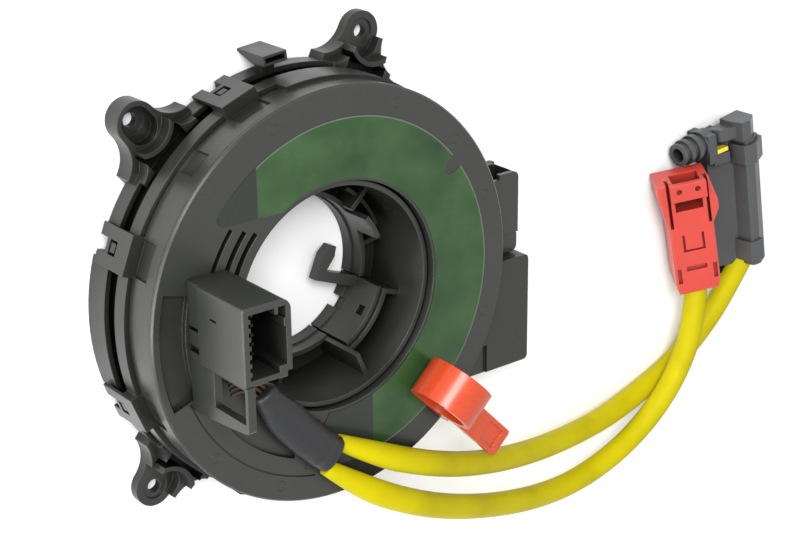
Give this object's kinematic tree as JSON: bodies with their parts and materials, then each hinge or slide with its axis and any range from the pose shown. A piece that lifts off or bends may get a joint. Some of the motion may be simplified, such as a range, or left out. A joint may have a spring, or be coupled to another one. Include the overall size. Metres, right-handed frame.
{
  "type": "steering clock spring",
  "caption": "Ring-shaped steering wheel cable reel: flat case, turning rotor with socket, two flexible leads with plugs and a pull-out locking key.",
  "frame": {"origin": "on the spin axis, in the plane of the mounting ears' backs", "axes": "+Z along the spin axis, out of the rotor's face; +X through the column connector block; +Y through the guide tab"},
  "size_m": [0.2145, 0.145, 0.0467],
  "materials": {
    "case_plastic": "satin moulded",
    "cover_plastic": "satin moulded",
    "rotor_plastic": "satin moulded",
    "socket_plastic": "satin moulded",
    "film_green": "printed film",
    "key_orange": "translucent moulded",
    "plug_orange": "moulded",
    "plug_black": "moulded",
    "lock_yellow": "moulded",
    "lead_yellow": "soft sleeve",
    "shrink_grey": "heat shrunk sleeve",
    "wire_brown": "insulated wire",
    "contact_metal": "tinned",
    "tape_cable": "flat laminated cable",
    "liner_white": "low friction sheet"
  },
  "bodies": {
    "case": {"rear_case": "case_plastic", "front_cover": "cover_plastic", "terminal_cover": "cover_plastic", "column_socket": "socket_plastic", "column_pins": "contact_metal", "outer_end": "socket_plastic", "rear_liner": "liner_white", "flat_cable": "tape_cable"},
    "rotor": {"rotor_disc": "rotor_plastic", "rotor_hub": "rotor_plastic", "finger_block": "rotor_plastic", "switch_socket": "socket_plastic", "switch_pins": "contact_metal", "cable_chute": "rotor_plastic", "disc_film": "film_green", "inner_end": "socket_plastic", "front_liner": "liner_white", "heat_sleeve": "shrink_grey", "lead_wires": "wire_brown", "cord_a": "lead_yellow", "cord_b": "lead_yellow", "orange_housing": "plug_orange", "orange_latch": "plug_orange", "black_housing": "plug_black", "black_collar": "plug_black", "yellow_lock": "lock_yellow"},
    "key": {"lock_key": "key_orange"}
  },
  "joints": [
    {"name": "rotor_spin", "type": "hinge", "parent": "case", "child": "rotor", "pos_m": [0, 0, 0], "axis": [0, 0, 1], "range_deg": [-900, 900]},
    {"name": "key_pull", "type": "slide", "parent": "rotor", "child": "key", "axis": [0, 0, 1], "range_m": [0, 0.012]}
  ]
}
